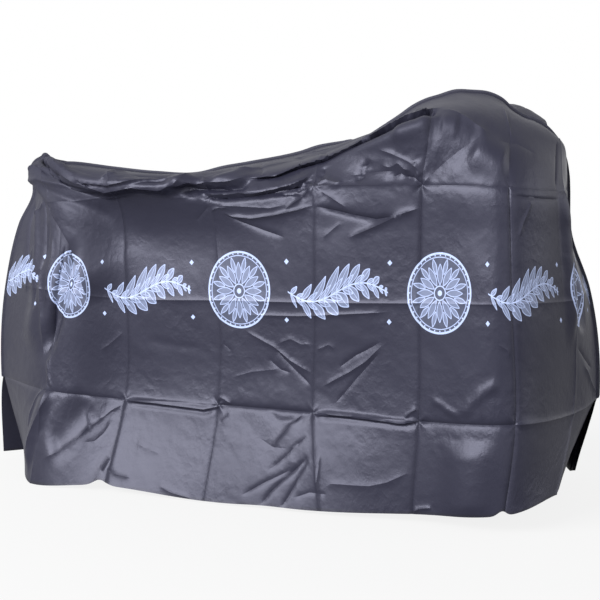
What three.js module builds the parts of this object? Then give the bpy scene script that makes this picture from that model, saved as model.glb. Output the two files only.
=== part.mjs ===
// A rain cover for a small motorcycle, draped over its machine: two flat panels of thin film,
// welded to each other along the top and down both ends. The machine itself is not part of it.
// Millimetres, +Z up, +X towards the front wheel, +Y to the machine's left. The origin is the
// point under the crown of the cover where the handlebars hold it up.
import * as THREE from "three";

// ---- Flat cut of one panel ----
const PANEL_LENGTH = 2100;
const PANEL_HEIGHT = 1000;
const CORNER_RADIUS = 250; // of the two upper corners
const FOLD_PITCH = PANEL_LENGTH / 8; // between the upright packing folds
const KNEE_HEIGHT = 200; // packing fold nearest the hem
const WAIST_HEIGHT = 450;
const BELLY_HEIGHT = 600; // of the fullness under the highest packing fold
const CHEST_HEIGHT = 700;
const WELD_ALLOWANCE = 6; // strip of both panels that stands up outside the weld
const WELD_TOP_OF_VENT = KNEE_HEIGHT; // below this the ends are left open as vents

// ---- Film ----
const SHEET = 2; // thickness of the solid sheet
const PANEL_GAP = 0.3; // between the two sheets along the weld

// ---- Support, over the lowest point of the hem ----
const CROWN_SUPPORT = new THREE.Vector3(290, 0, 905);

// ---- Facets ----
const PROBE = 5; // distance on the cloth over which its directions are read
const CORNER_STEPS = 5; // columns over each rounded corner
// Columns between the corners, in packing folds, closer together over the crown.
const COLUMN_FOLDS = [
  1.12, 1.3, 1.48, 1.66, 1.86, 2.08, 2.3, 2.52, 2.76, 3, 3.24, 3.48, 3.72, 3.95, 4.15, 4.32, 4.47,
  4.53, 4.64, 4.8, 5, 5.15, 5.3, 5.45, 5.6, 5.75, 5.9, 6.02, 6.15, 6.3, 6.5, 6.7, 6.88,
];
// Rows as shares of the panel's height, closer together where the cover folds over the seat.
const ROW_SHARES = [
  0, 0.06, 0.12, 0.17, 0.2, 0.23, 0.3, 0.38, 0.45, 0.52, 0.58, 0.62, 0.655, 0.685, 0.71, 0.735,
  0.76, 0.785, 0.81, 0.84, 0.87, 0.9, 0.93, 0.965, 1,
];

// Sections of the right panel, one for each upright packing fold from the rear weld to the front
// one. Each point is [forward, outward from the weld plane, up]. browAt is the height up the
// flat cloth at which the side turns over into the top.
const RIGHT_SECTIONS = [
  { fold: 0, hem: [-903, 0, -2], knee: [-928, 0, 205], waist: [-911, 0, 452], belly: [-872, 0, 598], chest: [-829, 0, 688], browAt: 725, brow: [-831, 0, 712] },
  { fold: 1, hem: [-737, 204, -22], knee: [-705, 180, 203], waist: [-685, 170, 445], belly: [-680, 153, 582], chest: [-700, 135, 662], browAt: 800, brow: [-745, 110, 728] },
  { fold: 2, hem: [-520, 228, -8], knee: [-498, 172, 190], waist: [-495, 163, 430], belly: [-503, 147, 582], chest: [-511, 168, 672], browAt: 748, brow: [-515, 190, 702] },
  { fold: 3, hem: [-262, 264, -19], knee: [-245, 211, 195], waist: [-245, 205, 435], belly: [-258, 184, 588], chest: [-270, 190, 670], browAt: 775, brow: [-282, 185, 712] },
  { fold: 4, hem: [30, 304, -14], knee: [0, 252, 195], waist: [0, 245, 440], belly: [-1, 243, 601], chest: [-5, 225, 695], browAt: 800, brow: [-12, 170, 755] },
  { fold: 5, hem: [240, 338, -4], knee: [250, 297, 195], waist: [248, 290, 448], belly: [249, 288, 600], chest: [252, 285, 700], browAt: 855, brow: [262, 240, 852] },
  { fold: 6, hem: [450, 368, 17], knee: [467, 352, 205], waist: [456, 345, 455], belly: [450, 334, 601], chest: [445, 318, 697], browAt: 860, brow: [422, 220, 838] },
  { fold: 7, hem: [537, 250, 42], knee: [553, 150, 200], waist: [552, 180, 452], belly: [537, 190, 592], chest: [532, 190, 686], browAt: 800, brow: [520, 125, 776] },
  { fold: 8, hem: [560, 0, 20], knee: [586, 0, 215], waist: [562, 0, 462], belly: [520, 0, 598], chest: [517, 0, 695], browAt: 725, brow: [516, 0, 718] },
];

// Sections of the left panel, in the same way.
const LEFT_SECTIONS = [
  { fold: 0, hem: [-903, 0, -2], knee: [-928, 0, 205], waist: [-911, 0, 452], belly: [-872, 0, 598], chest: [-829, 0, 688], browAt: 725, brow: [-831, 0, 712] },
  { fold: 1, hem: [-748, 190, 6], knee: [-715, 165, 208], waist: [-700, 150, 448], belly: [-693, 137, 588], chest: [-705, 125, 668], browAt: 800, brow: [-742, 100, 735] },
  { fold: 2, hem: [-505, 245, -8], knee: [-490, 195, 195], waist: [-488, 175, 436], belly: [-493, 158, 590], chest: [-500, 165, 676], browAt: 765, brow: [-508, 178, 712] },
  { fold: 3, hem: [-250, 268, 0], knee: [-240, 225, 198], waist: [-238, 205, 440], belly: [-246, 190, 596], chest: [-258, 185, 684], browAt: 785, brow: [-275, 165, 728] },
  { fold: 4, hem: [15, 302, -10], knee: [5, 258, 195], waist: [2, 250, 442], belly: [-2, 250, 603], chest: [-8, 235, 700], browAt: 805, brow: [-20, 180, 768] },
  { fold: 5, hem: [262, 318, -4], knee: [252, 290, 198], waist: [250, 292, 450], belly: [248, 295, 602], chest: [244, 288, 704], browAt: 860, brow: [244, 240, 856] },
  { fold: 6, hem: [440, 322, 8], knee: [452, 308, 205], waist: [440, 308, 455], belly: [430, 302, 602], chest: [422, 290, 700], browAt: 865, brow: [402, 198, 846] },
  { fold: 7, hem: [520, 84, 30], knee: [546, 115, 205], waist: [528, 108, 455], belly: [500, 100, 596], chest: [488, 98, 690], browAt: 800, brow: [474, 75, 780] },
  { fold: 8, hem: [560, 0, 20], knee: [586, 0, 215], waist: [562, 0, 462], belly: [520, 0, 598], chest: [517, 0, 695], browAt: 725, brow: [516, 0, 718] },
];

// The top of the weld, which both panels share, from the rear end of the cut to the front one.
const WELD_LINE = [
  { fold: 0, forward: -839, up: 741 },
  { fold: 0.3, forward: -827, up: 757 },
  { fold: 0.75, forward: -806, up: 769 },
  { fold: 0.95, forward: -795, up: 775 },
  { fold: 1.08, forward: -779, up: 762 },
  { fold: 1.25, forward: -757, up: 755 },
  { fold: 1.5, forward: -712, up: 753 },
  { fold: 2, forward: -600, up: 740 },
  { fold: 2.5, forward: -487, up: 729 },
  { fold: 3, forward: -372, up: 727 },
  { fold: 3.25, forward: -312, up: 741 },
  { fold: 3.5, forward: -250, up: 751 },
  { fold: 4, forward: -118, up: 776 },
  { fold: 4.2, forward: -72, up: 790 },
  { fold: 4.4, forward: -12, up: 799 },
  { fold: 4.47, forward: 10, up: 802 },
  { fold: 4.52, forward: 22, up: 797 },
  { fold: 4.6, forward: 42, up: 807 },
  { fold: 4.75, forward: 76, up: 827 },
  { fold: 5, forward: 130, up: 860 },
  { fold: 5.15, forward: 160, up: 880 },
  { fold: 5.3, forward: 190, up: 894 },
  { fold: 5.45, forward: 222, up: 903 },
  { fold: 5.6, forward: 258, up: 913 },
  { fold: 5.75, forward: 293, up: 912 },
  { fold: 5.9, forward: 335, up: 907 },
  { fold: 6.02, forward: 364, up: 894 },
  { fold: 6.15, forward: 388, up: 872 },
  { fold: 6.3, forward: 414, up: 855 },
  { fold: 6.5, forward: 440, up: 846 },
  { fold: 6.7, forward: 464, up: 832 },
  { fold: 7, forward: 492, up: 801 },
  { fold: 7.5, forward: 508, up: 762 },
  { fold: 8, forward: 513, up: 742 },
];

// How far the weld strays to the machine's left of its mean plane.
const WELD_STRAYS = [
  { forward: 620, up: 330, shift: 48, reach: [160, 320] },
  { forward: -60, up: 800, shift: 12, reach: [150, 120] },
  { forward: -520, up: 740, shift: -14, reach: [180, 100] },
];

// Soft folds of the right panel. Each runs on the flat cloth through the points of its line
// [along, height]; reach is half its width, rise is how far it stands out (negative for a
// trough), and droop slides the top of a ridge down the cloth so that it hangs over.
const RIGHT_FOLDS = [
  { name: "seat roll", line: [[260, 960], [330, 875], [420, 800], [510, 755], [590, 770], [680, 765], [735, 830]], reach: 46, rise: 12, droop: 10 },
  { name: "roll shadow", line: [[300, 745], [420, 700], [505, 672], [590, 694], [680, 690], [790, 715]], reach: 48, rise: -13, droop: 0 },
  { name: "under the roll", line: [[380, 645], [900, 625]], reach: 66, rise: -9, droop: 0 },
  { name: "pocket", line: [[700, 775], [760, 795], [830, 778], [940, 782]], reach: 34, rise: 12, droop: 8 },
  { name: "sweep slot", line: [[900, 738], [1000, 772], [1130, 803], [1240, 836], [1400, 845]], reach: 32, rise: -14, droop: 0 },
  { name: "upper sweep", line: [[900, 792], [1000, 824], [1130, 850], [1240, 882], [1345, 905]], reach: 34, rise: 11, droop: 4 },
  { name: "lower slot", line: [[780, 692], [925, 688], [1045, 722]], reach: 28, rise: -9, droop: 0 },
  { name: "lower sweep", line: [[800, 740], [1050, 772], [1190, 792], [1345, 845]], reach: 38, rise: 10, droop: 4 },
  { name: "tail pull", line: [[80, 745], [230, 700], [350, 590], [560, 410]], reach: 90, rise: 24, droop: 4 },
  { name: "pull trough", line: [[90, 655], [215, 605], [300, 510], [400, 410]], reach: 60, rise: -9, droop: 0 },
  { name: "rear valley", line: [[320, 520], [225, 250]], reach: 60, rise: -12, droop: 0 },
  { name: "rear ridge", line: [[215, 640], [150, 280]], reach: 50, rise: 12, droop: 0 },
  { name: "rear corner fold", line: [[275, 215], [195, 15]], reach: 42, rise: 12, droop: 0 },
  { name: "rear hem dent", line: [[430, 190], [310, 70]], reach: 70, rise: -16, droop: 0 },
  { name: "shoulder", line: [[1290, 695], [1355, 738], [1400, 768], [1480, 805]], reach: 34, rise: 10, droop: 0 },
  { name: "front pleat", line: [[1838, 740], [1815, 330]], reach: 40, rise: 14, droop: 0 },
  { name: "pleat valley", line: [[1935, 730], [1915, 360]], reach: 55, rise: -30, droop: 0 },
  { name: "front lobe", line: [[1460, -20], [1450, 170]], reach: 90, rise: 10, droop: 0 },
];

// Soft folds of the left panel.
const LEFT_FOLDS = [
  { name: "seat roll", line: [[300, 900], [365, 825], [480, 775], [650, 765], [800, 795], [900, 860]], reach: 44, rise: 12, droop: 10 },
  { name: "roll shadow", line: [[370, 745], [480, 705], [650, 695], [830, 735]], reach: 46, rise: -14, droop: 0 },
  { name: "under the roll", line: [[400, 660], [900, 640]], reach: 60, rise: -12, droop: 0 },
  { name: "sweep slot", line: [[880, 735], [980, 760], [1100, 795], [1240, 832], [1340, 868]], reach: 32, rise: -14, droop: 0 },
  { name: "upper sweep", line: [[880, 785], [980, 812], [1100, 845], [1240, 880], [1340, 915]], reach: 34, rise: 11, droop: 4 },
  { name: "lower slot", line: [[820, 690], [940, 697], [1080, 730], [1180, 775]], reach: 28, rise: -8, droop: 0 },
  { name: "tank sweep", line: [[940, 735], [1330, 820]], reach: 42, rise: 10, droop: 4 },
  { name: "tail pull", line: [[100, 735], [240, 680], [360, 580], [620, 350]], reach: 90, rise: 22, droop: 0 },
  { name: "rear valley", line: [[420, 560], [250, 120]], reach: 55, rise: -18, droop: 0 },
  { name: "crown puff", line: [[1470, 905], [1760, 885]], reach: 75, rise: 18, droop: 0 },
  { name: "bar fold", line: [[1420, 830], [1560, 330]], reach: 60, rise: 12, droop: 0 },
  { name: "front valley", line: [[1900, 720], [1860, 300]], reach: 55, rise: -24, droop: 0 },
  { name: "front lobe", line: [[1180, -20], [1200, 170]], reach: 90, rise: 12, droop: 0 },
];

// How far the free lower corners of each panel swing at the vents: [forward, outward, up].
const VENT_REACH = FOLD_PITCH;
const VENT_SWING_POWER = 0.7; // below 1, so that the corner swings out at once under the weld
const RIGHT_VENTS = { rear: [50, 28, 14], front: [-42, 12, 26] };
const LEFT_VENTS = { rear: [-64, 60, -2], front: [-22, 30, 22] };

const FOLD_END = 0.22; // share of a fold's length over which each of its ends dies out
const WELD_FADE = 90; // distance from the weld over which the folds come to their full rise
const BROW_UNDER_WELD = 15; // least distance from the brow up to the weld, on the cloth

// ---- Curves through tables ----

/** Height of the flat cut over its lower edge at a place along it. */
function cutHeight(along) {
  const fromEnd = Math.min(along, PANEL_LENGTH - along);
  const into = CORNER_RADIUS - Math.min(Math.max(fromEnd, 0), CORNER_RADIUS);
  return PANEL_HEIGHT - CORNER_RADIUS + Math.sqrt(CORNER_RADIUS ** 2 - into ** 2);
}

/** Smooth curve through (knots, values), both lists of numbers, read at a place. */
function curveThrough(knots, values, place) {
  const last = knots.length - 1;
  const steps = knots.slice(1).map((knot, i) => knot - knots[i]);
  const rises = steps.map((step, i) => (values[i + 1] - values[i]) / step);
  const slopeAt = (i) => {
    if (i === 0) return rises[0];
    if (i === last) return rises[last - 1];
    return (rises[i - 1] * steps[i] + rises[i] * steps[i - 1]) / (steps[i - 1] + steps[i]);
  };
  let i = 0;
  while (i < last - 1 && place >= knots[i + 1]) i++;
  const u = (place - knots[i]) / steps[i];
  const near = values[i] * (2 * u ** 3 - 3 * u ** 2 + 1) + values[i + 1] * (3 * u ** 2 - 2 * u ** 3);
  return near + steps[i] * (slopeAt(i) * (u ** 3 - 2 * u ** 2 + u) + slopeAt(i + 1) * (u ** 3 - u ** 2));
}

const smooth = (share) => {
  const held = Math.min(Math.max(share, 0), 1);
  return held * held * (3 - 2 * held);
};

/** A column of the draped panel: its heights up the flat cloth, and where they hang. */
function hangingColumn(sections, along) {
  const folds = sections.map((section) => section.fold);
  const fold = along / FOLD_PITCH;
  const read = (values) => curveThrough(folds, values, fold);
  const weldFolds = WELD_LINE.map((point) => point.fold);
  const weldAt = (key) => curveThrough(weldFolds, WELD_LINE.map((point) => point[key]), fold);
  const top = cutHeight(along);
  const brow = Math.min(read(sections.map((section) => section.browAt)), top - BROW_UNDER_WELD);
  const heights = [0, KNEE_HEIGHT, WAIST_HEIGHT, BELLY_HEIGHT, CHEST_HEIGHT, brow, top];
  const places = ["hem", "knee", "waist", "belly", "chest", "brow"].map((level) =>
    [0, 1, 2].map((axis) => read(sections.map((section) => section[level][axis]))),
  );
  places.push([weldAt("forward"), 0, weldAt("up")]);
  return { heights, places };
}

/** Swing of the free lower corners, which fades along the panel and up to the weld. */
function ventSwing(vents, along, height) {
  const down = Math.max(1 - height / WELD_TOP_OF_VENT, 0) ** VENT_SWING_POWER;
  const rear = down * Math.max(1 - along / VENT_REACH, 0);
  const front = down * Math.max(1 - (PANEL_LENGTH - along) / VENT_REACH, 0);
  return [0, 1, 2].map((axis) => rear * vents.rear[axis] + front * vents.front[axis]);
}

/** The panel without its folds, at a place on the flat cloth: [forward, outward, up]. */
function drapedPoint(panel, along, height) {
  const column = hangingColumn(panel.sections, along);
  const swing = ventSwing(panel.vents, along, height);
  return [0, 1, 2].map((axis) => {
    const values = column.places.map((place) => place[axis]);
    return curveThrough(column.heights, values, height) + swing[axis];
  });
}

/** Nearest place on a fold's line: the distance to it, and its share of the line's length. */
function nearestOnLine(line, along, height) {
  const runs = line.slice(1).map((point, i) => [point[0] - line[i][0], point[1] - line[i][1]]);
  const lengths = runs.map((run) => Math.hypot(...run));
  const whole = lengths.reduce((sum, length) => sum + length, 0);
  let nearest = { away: Infinity, share: 0 };
  let passed = 0;
  runs.forEach((run, i) => {
    const offset = [along - line[i][0], height - line[i][1]];
    const down = (offset[0] * run[0] + offset[1] * run[1]) / lengths[i] ** 2;
    const held = Math.min(Math.max(down, 0), 1);
    const away = Math.hypot(offset[0] - held * run[0], offset[1] - held * run[1]);
    if (away < nearest.away) nearest = { away, share: (passed + held * lengths[i]) / whole };
    passed += lengths[i];
  });
  return nearest;
}

/** How much a place on the cloth belongs to a fold (0 to 1). */
function foldShare(fold, along, height) {
  const { away, share } = nearestOnLine(fold.line, along, height);
  if (away >= fold.reach) return 0;
  const ends = smooth(share / FOLD_END) * smooth((1 - share) / FOLD_END);
  return ends * (0.5 + 0.5 * Math.cos((Math.PI * away) / fold.reach));
}

/** Folds die out at the weld, where both panels run flat together. */
function awayFromWeld(along, height) {
  const fromTop = cutHeight(along) - height;
  const fromEnd = Math.min(along, PANEL_LENGTH - along);
  const endShare = height > WELD_TOP_OF_VENT ? smooth(fromEnd / WELD_FADE) : 1;
  return smooth(fromTop / WELD_FADE) * endShare;
}

function vector(point) {
  return new THREE.Vector3(...point);
}

/** The middle surface of the panel at a place on the flat cloth, as [forward, outward, up]. */
function foldedPoint(panel, along, height) {
  const back = Math.max(along - PROBE, 0);
  const ahead = Math.min(along + PROBE, PANEL_LENGTH);
  const here = vector(drapedPoint(panel, along, height));
  const top = cutHeight(along);
  const forward = vector(drapedPoint(panel, ahead, height)).sub(vector(drapedPoint(panel, back, height)));
  const upper = vector(drapedPoint(panel, along, Math.min(height + PROBE, top)));
  const up = upper.sub(vector(drapedPoint(panel, along, Math.max(height - PROBE, 0)))).normalize();
  const out = forward.normalize().clone().cross(up).negate().normalize();
  const held = awayFromWeld(along, height);
  for (const fold of panel.folds) {
    const share = held * foldShare(fold, along, height);
    here.addScaledVector(out, share * fold.rise).addScaledVector(up, -share * fold.droop);
  }
  return [here.x, Math.max(here.y, 0), here.z];
}

/** Sideways stray of the weld plane at a place. */
function weldStray(forward, up) {
  return WELD_STRAYS.reduce((sum, stray) => {
    const along = (forward - stray.forward) / stray.reach[0];
    const rise = (up - stray.up) / stray.reach[1];
    return sum + stray.shift * Math.exp(-(along * along) - rise * rise);
  }, 0);
}

// ---- Sheets ----

function columnPlaces() {
  const corner = [];
  for (let i = 0; i <= CORNER_STEPS; i++) {
    corner.push(CORNER_RADIUS * (1 - Math.cos((Math.PI / 2) * (i / CORNER_STEPS))));
  }
  const middle = COLUMN_FOLDS.map((fold) => fold * FOLD_PITCH);
  return [...corner, ...middle, ...corner.map((along) => PANEL_LENGTH - along).reverse()];
}

/**
 * The middle surface of one panel as a triangle net, with the strip outside the weld.
 * side is +1 for the left panel and -1 for the right one.
 */
function panelNet(panel, side) {
  const columns = columnPlaces();
  const rows = ROW_SHARES.length;
  const flat = []; // [forward, outward, up] of each point
  for (const along of columns) {
    for (const share of ROW_SHARES) flat.push(foldedPoint(panel, along, share * cutHeight(along)));
  }
  const index = (column, row) => column * rows + row;
  const faces = [];
  for (let column = 0; column < columns.length - 1; column++) {
    for (let row = 0; row < rows - 1; row++) {
      const a = index(column, row);
      const b = index(column + 1, row);
      const c = index(column + 1, row + 1);
      const d = index(column, row + 1);
      const even = vector(flat[a]).distanceTo(vector(flat[c])) <= vector(flat[b]).distanceTo(vector(flat[d]));
      faces.push(...(even ? [[a, b, c], [a, c, d]] : [[a, b, d], [b, c, d]]));
    }
  }

  // The weld runs up the rear end, along the top and down the front end.
  const last = columns.length - 1;
  const welded = ROW_SHARES.map((share, row) => row).filter(
    (row) => ROW_SHARES[row] * cutHeight(0) >= WELD_TOP_OF_VENT,
  );
  const weld = [
    ...welded.map((row) => index(0, row)),
    ...columns.slice(1, -1).map((along, i) => index(i + 1, rows - 1)),
    ...welded.map((row) => index(last, row)).reverse(),
  ];
  const outerEdge = weld.map((point, i) => {
    const before = flat[weld[Math.max(i - 1, 0)]];
    const after = flat[weld[Math.min(i + 1, weld.length - 1)]];
    const run = new THREE.Vector2(after[0] - before[0], after[2] - before[2]).normalize();
    const width = i === 0 || i === weld.length - 1 ? 0.5 * WELD_ALLOWANCE : WELD_ALLOWANCE;
    const [forward, outward, up] = flat[point];
    flat.push([forward - run.y * width, outward, up + run.x * width]);
    return flat.length - 1;
  });
  for (let i = 0; i < weld.length - 1; i++) {
    faces.push([weld[i], weld[i + 1], outerEdge[i + 1]], [weld[i], outerEdge[i + 1], outerEdge[i]]);
  }

  const clear = PANEL_GAP / 2 + SHEET / 2;
  const points = flat.map(([forward, outward, up]) => {
    return new THREE.Vector3(forward, side * (outward + clear) + weldStray(forward, up), up);
  });
  const outwardFaces = side < 0 ? faces : faces.map(([a, b, c]) => [a, c, b]);
  return { points, faces: outwardFaces };
}

/** A closed sheet of even thickness on both sides of a triangle net. */
function thicken({ points, faces }, thickness) {
  const normals = points.map(() => new THREE.Vector3());
  for (const [a, b, c] of faces) {
    const normal = points[b].clone().sub(points[a]).cross(points[c].clone().sub(points[a]));
    for (const corner of [a, b, c]) normals[corner].add(normal);
  }
  const count = points.length;
  const outer = points.map((point, i) => point.clone().addScaledVector(normals[i].normalize(), thickness / 2));
  const inner = points.map((point, i) => point.clone().addScaledVector(normals[i], -thickness / 2));
  const edges = new Map();
  for (const [a, b, c] of faces) {
    for (const [from, to] of [[a, b], [b, c], [c, a]]) edges.set(`${from}-${to}`, [from, to]);
  }
  const rim = [...edges.values()].filter(([from, to]) => !edges.has(`${to}-${from}`));
  const closed = [
    ...faces,
    ...faces.map(([a, b, c]) => [c + count, b + count, a + count]),
    ...rim.flatMap(([from, to]) => [
      [to, from, from + count],
      [to, from + count, to + count],
    ]),
  ];
  const geometry = new THREE.BufferGeometry();
  const positions = [...outer, ...inner].flatMap((point) => point.toArray());
  geometry.setAttribute("position", new THREE.Float32BufferAttribute(positions, 3));
  geometry.setIndex(closed.flat());
  geometry.computeVertexNormals();
  return geometry;
}

// ---- The cover ----

const film = new THREE.MeshStandardMaterial({
  color: 0x46464f,
  roughness: 0.42,
  metalness: 0,
  side: THREE.DoubleSide,
});

function panelMesh(name, panel, side) {
  const mesh = new THREE.Mesh(thicken(panelNet(panel, side), SHEET), film.clone());
  mesh.name = name;
  return mesh;
}

const cover = new THREE.Group();
cover.add(
  panelMesh("right_panel", { sections: RIGHT_SECTIONS, folds: RIGHT_FOLDS, vents: RIGHT_VENTS }, -1),
  panelMesh("left_panel", { sections: LEFT_SECTIONS, folds: LEFT_FOLDS, vents: LEFT_VENTS }, 1),
);
cover.position.copy(CROWN_SUPPORT).negate();

export default cover;
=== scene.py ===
"""Looks of a thin film rain cover that hangs over a small motorcycle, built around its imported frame.

Each side of the cover is one sheet of film. It is laid out on its flat cut, hung through sections
that are the solid's own on the left and within 25 mm of the solid's on the right, and then given
its soft folds, laps, packing folds and small creases. Tables are in millimetres, and the finished
pieces in metres.
"""
import math

import bpy
import numpy as np
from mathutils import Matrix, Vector


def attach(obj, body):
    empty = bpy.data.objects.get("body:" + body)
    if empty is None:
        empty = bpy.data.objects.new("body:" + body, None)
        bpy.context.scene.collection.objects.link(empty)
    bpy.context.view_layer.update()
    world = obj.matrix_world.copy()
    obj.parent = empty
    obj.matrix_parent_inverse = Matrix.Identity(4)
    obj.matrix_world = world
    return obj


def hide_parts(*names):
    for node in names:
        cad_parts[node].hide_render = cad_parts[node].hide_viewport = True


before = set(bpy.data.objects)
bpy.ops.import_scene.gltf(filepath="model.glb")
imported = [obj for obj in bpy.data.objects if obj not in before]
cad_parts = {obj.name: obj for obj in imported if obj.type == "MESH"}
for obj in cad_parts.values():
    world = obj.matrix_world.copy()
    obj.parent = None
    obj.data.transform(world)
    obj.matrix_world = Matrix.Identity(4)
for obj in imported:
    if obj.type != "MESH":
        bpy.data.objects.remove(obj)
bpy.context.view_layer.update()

MM = 0.001

# ---- Flat cut of one panel ----
PANEL_LENGTH = 2100
PANEL_HEIGHT = 1000
CORNER_RADIUS = 250
FOLD_PITCH = PANEL_LENGTH / 8
KNEE_HEIGHT = 200
WAIST_HEIGHT = 450
BELLY_HEIGHT = 600
CHEST_HEIGHT = 700
WELD_ALLOWANCE = 6
WELD_TOP_OF_VENT = KNEE_HEIGHT
FILM_CLEARANCE = 0.4  # each side of the weld plane
CROWN_SUPPORT = (290, 0, 905)  # the frame's origin, over the lowest point of the hem

# ---- Cells of the net ----
FIELD_CELLS = (44, 57, 57, 58, 58, 54, 40, 32)  # columns between two upright packing folds
# Rows of cells between two level packing folds: (from, to, cells).
ROWS = [(0, KNEE_HEIGHT, 46), (KNEE_HEIGHT, WAIST_HEIGHT, 56), (WAIST_HEIGHT, CHEST_HEIGHT, 58)]
TOP_ROWS = 70  # over the highest packing fold
CROWDING = 0.35  # how much closer the columns and rows are at the packing folds
CORNER_CROWDING = 0.45  # the same for the columns over the rounded corners, at the fold

# ---- Rows of the tables ----

def section(fold, hem, knee, waist, belly, chest, brow_at, brow):
    return dict(fold=fold, hem=hem, knee=knee, waist=waist, belly=belly, chest=chest,
                brow_at=brow_at, brow=brow)


def soft_fold(start, end, reach, rise, droop=0):
    return dict(start=start, end=end, reach=reach, rise=rise, droop=droop)


def crease(width, rise, *line):
    return dict(kind="crease", width=width, rise=rise, line=line)


def ridge(width, rise, *line):
    return dict(kind="ridge", width=width, rise=rise, line=line)


# ---- Tables ----

# Sections of the right panel, one for each upright packing fold from the rear weld to the front
# one. Each point is (forward, outward from the weld plane, up). brow_at is the height up the flat
# cloth at which the side turns over into the top.
RIGHT_SECTIONS = [
    section(0, (-903, 0, -2), (-928, 0, 205), (-911, 0, 452),
            (-872, 0, 598), (-829, 0, 688), 725, (-831, 0, 712)),
    section(1, (-737, 208, -22), (-705, 180, 203), (-685, 170, 445),
            (-680, 153, 582), (-700, 135, 662), 800, (-745, 110, 728)),
    section(2, (-520, 238, -8), (-498, 172, 190), (-495, 163, 430),
            (-503, 151, 582), (-511, 181, 672), 748, (-515, 198, 702)),
    section(3, (-262, 271, -19), (-245, 211, 195), (-245, 199, 435),
            (-258, 190, 588), (-270, 209, 670), 775, (-282, 200, 712)),
    section(4, (30, 308, -14), (0, 252, 195), (0, 245, 440),
            (-1, 243, 601), (-5, 238, 696), 800, (-12, 170, 755)),
    section(5, (240, 314, -4), (250, 297, 195), (248, 290, 448),
            (249, 288, 600), (252, 290, 700), 855, (262, 256, 852)),
    section(6, (450, 363, 17), (467, 352, 205), (456, 345, 455),
            (450, 333, 601), (445, 323, 697), 860, (422, 208, 838)),
    section(7, (537, 250, 42), (553, 150, 200), (552, 180, 452),
            (537, 190, 592), (532, 190, 686), 800, (520, 125, 776)),
    section(8, (560, 0, 20), (586, 0, 215), (562, 0, 462),
            (520, 0, 598), (517, 0, 695), 725, (516, 0, 718)),
]

# Sections of the left panel, in the same way. Both panels meet in the first and last one.
LEFT_SECTIONS = [
    RIGHT_SECTIONS[0],
    section(1, (-748, 190, 6), (-715, 165, 208), (-700, 150, 448),
            (-693, 137, 588), (-705, 125, 668), 800, (-742, 100, 735)),
    section(2, (-505, 245, -8), (-490, 195, 195), (-488, 175, 436),
            (-493, 158, 590), (-500, 165, 676), 765, (-508, 178, 712)),
    section(3, (-250, 268, 0), (-240, 225, 198), (-238, 205, 440),
            (-246, 190, 596), (-258, 185, 684), 785, (-275, 165, 728)),
    section(4, (15, 302, -10), (5, 258, 195), (2, 250, 442),
            (-2, 250, 603), (-8, 235, 700), 805, (-20, 180, 768)),
    section(5, (262, 318, -4), (252, 290, 198), (250, 292, 450),
            (248, 295, 602), (244, 288, 704), 860, (244, 240, 856)),
    section(6, (440, 322, 8), (452, 308, 205), (440, 308, 455),
            (430, 302, 602), (422, 290, 700), 865, (402, 198, 846)),
    section(7, (520, 84, 30), (546, 115, 205), (528, 108, 455),
            (500, 100, 596), (488, 98, 690), 800, (474, 75, 780)),
    RIGHT_SECTIONS[-1],
]

# The top of the weld, which both panels share: (fold, forward, up).
WELD_LINE = [
    (0, -839, 741), (0.3, -827, 757), (0.75, -806, 769), (0.95, -795, 775), (1.08, -779, 762),
    (1.25, -757, 755), (1.5, -712, 753), (2, -600, 740), (2.5, -487, 729), (3, -372, 727),
    (3.25, -312, 741), (3.5, -250, 751), (4, -118, 776), (4.2, -72, 790), (4.4, -12, 799),
    (4.47, 10, 802), (4.52, 22, 797), (4.6, 42, 807), (4.75, 76, 827), (5, 130, 860),
    (5.15, 160, 880), (5.3, 190, 894), (5.45, 222, 903), (5.6, 258, 913), (5.75, 293, 912),
    (5.9, 335, 907), (6.02, 364, 894), (6.15, 388, 872), (6.3, 414, 855), (6.5, 440, 846),
    (6.7, 464, 832), (7, 492, 801), (7.5, 508, 762), (8, 513, 742),
]

# How far the weld strays to the machine's left of its mean plane: (forward, up, shift, reaches).
WELD_STRAYS = [(620, 330, 48, 160, 320), (-60, 800, 12, 150, 120), (-520, 740, -14, 180, 100)]

# Soft folds. They run straight on the flat cloth between two points (along, height); reach is
# half their width, rise how far they stand out, and droop how far the crest slides down.
RIGHT_FOLDS = [
    soft_fold((800, 742), (1345, 828), reach=72, rise=11),  # lower sweep
    soft_fold((1425, 782), (1580, 748), reach=60, rise=12),  # dome swell
    soft_fold((1225, 806), (1322, 818), reach=64, rise=9),  # shoulder swell
    soft_fold((1150, 738), (1300, 706), reach=30, rise=-4),  # lens hollow
    soft_fold((1335, 824), (1395, 820), reach=42, rise=6),  # dome swell rear
    soft_fold((230, 760), (600, 460), reach=110, rise=8),  # tail pull
    soft_fold((345, 600), (225, 250), reach=46, rise=-16),  # rear valley
    soft_fold((215, 560), (150, 280), reach=55, rise=9),  # rear ridge
    soft_fold((275, 215), (195, 15), reach=42, rise=12),  # rear corner fold
    soft_fold((430, 190), (310, 70), reach=75, rise=-9),  # rear hem dent
    soft_fold((1838, 740), (1815, 330), reach=40, rise=14),  # front pleat
    soft_fold((1935, 730), (1915, 360), reach=55, rise=-30),  # pleat valley
    soft_fold((1460, -20), (1450, 170), reach=90, rise=10),  # front lobe
]
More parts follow.
